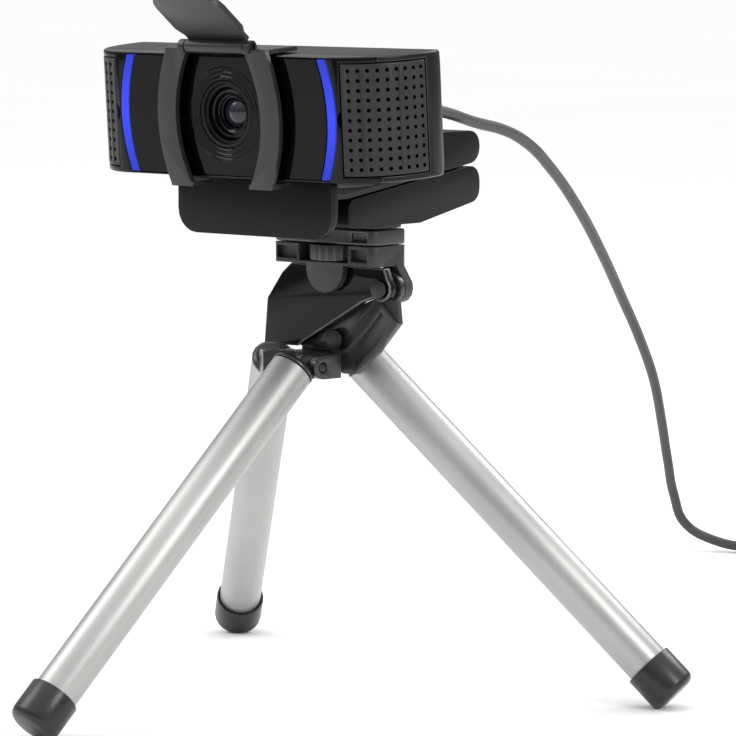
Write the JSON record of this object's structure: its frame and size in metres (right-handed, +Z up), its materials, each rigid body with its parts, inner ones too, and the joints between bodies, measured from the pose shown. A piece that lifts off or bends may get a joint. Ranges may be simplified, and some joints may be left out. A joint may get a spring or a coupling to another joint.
{
  "type": "webcam on tripod",
  "caption": "Desk webcam with flip-up privacy shutter on a fold-up clip, screwed to a folding mini tripod with a tilting head; its cord ends in a coil and a plug.",
  "frame": {"origin": "centre of the footprint of the three feet and the webcam at floor level, cord left out", "axes": "+Z up, the webcam looks along -Y, +X is to the right seen from the front"},
  "size_m": [0.1672, 0.3674, 0.1764],
  "materials": {
    "satin_aluminium": "satin",
    "steel": "brushed",
    "brass": "machined",
    "black_gloss": "gloss",
    "black_satin": "satin",
    "grey_satin": "satin",
    "grille_grey": "fine texture",
    "glass": "tinted",
    "light_guide": "translucent blue",
    "rubber": "matte",
    "board_green": "solder mask"
  },
  "bodies": {
    "root": {"hub_body": "grey_satin", "hinge_arm": "grey_satin", "arm_screw": "steel", "front_leg_pin": "steel", "right_leg_pin": "steel", "rear_leg_pin": "steel", "cord_lead": "rubber", "cord_coil": "rubber", "cord_tie": "rubber", "usb_plug": "black_satin", "usb_shell": "steel"},
    "leg_front": {"front_leg_plug": "black_satin", "front_leg_tube": "satin_aluminium", "front_foot": "rubber"},
    "leg_right": {"right_leg_plug": "black_satin", "right_leg_tube": "satin_aluminium", "right_foot": "rubber"},
    "leg_rear": {"rear_leg_plug": "black_satin", "rear_leg_tube": "satin_aluminium", "rear_foot": "rubber"},
    "head": {"tilt_block": "grey_satin", "top_plate": "grey_satin", "top_pad": "rubber", "front_shield": "black_gloss", "head_hinge_pin": "steel", "clip_foot": "grey_satin", "tripod_bush": "brass", "clip_fold_pin": "steel"},
    "wheel": {"thumbwheel": "black_satin", "tripod_screw": "steel"},
    "clip": {"clip_arm": "grey_satin", "lip_pad": "rubber", "clip_tilt_pin": "steel"},
    "webcam": {"rear_shell": "black_satin", "front_frame": "black_gloss", "front_glass": "glass", "left_light_strip": "light_guide", "right_light_strip": "light_guide", "left_grille": "grille_grey", "right_grille": "grille_grey", "left_microphone": "steel", "right_microphone": "steel", "lens_barrel": "black_satin", "lens_cell": "steel", "lens_element": "glass", "sensor_board": "board_green", "image_chip": "black_satin", "main_board": "board_green", "tilt_neck": "black_satin", "cable_gland": "black_satin", "shutter_clip": "grey_satin", "shutter_pin": "steel"},
    "shutter": {"shutter_flap": "black_satin"}
  },
  "joints": [
    {"name": "front_leg_fold", "type": "hinge", "parent": "root", "child": "leg_front", "pos_m": [0.00204, 0.01093, 0.08281], "axis": [0.9877, -0.1564, 0], "range_deg": [0, 45]},
    {"name": "right_leg_fold", "type": "hinge", "parent": "root", "child": "leg_right", "pos_m": [-0.00169, 0.02711, 0.08281], "axis": [-0.3502, 0.9367, 0], "range_deg": [0, 45]},
    {"name": "rear_leg_fold", "type": "hinge", "parent": "root", "child": "leg_rear", "pos_m": [-0.01399, 0.01614, 0.08281], "axis": [-0.6626, -0.749, 0], "range_deg": [0, 45]},
    {"name": "head_tilt", "type": "hinge", "parent": "root", "child": "head", "pos_m": [0.01946, 0.01793, 0.1026], "axis": [0, 1, 0], "range_deg": [0, 90], "deforming": ["cord_lead"]},
    {"name": "thumbwheel_turn", "type": "hinge", "parent": "head", "child": "wheel", "pos_m": [0.00346, 0.01993, 0.112], "axis": [0, 0, 1], "continuous": true},
    {"name": "clip_fold", "type": "hinge", "parent": "head", "child": "clip", "pos_m": [0.00346, 0.04833, 0.1321], "axis": [-1, 0, 0], "range_deg": [0, 90], "deforming": ["cord_lead"]},
    {"name": "webcam_tilt", "type": "hinge", "parent": "clip", "child": "webcam", "pos_m": [0.00346, 0.00533, 0.1316], "axis": [1, 0, 0], "range_deg": [-20, 0], "deforming": ["cord_lead"]},
    {"name": "shutter_flip", "type": "hinge", "parent": "webcam", "child": "shutter", "pos_m": [0.00346, -0.02521, 0.16252], "axis": [1, 0, 0], "range_deg": [0, 131]}
  ]
}
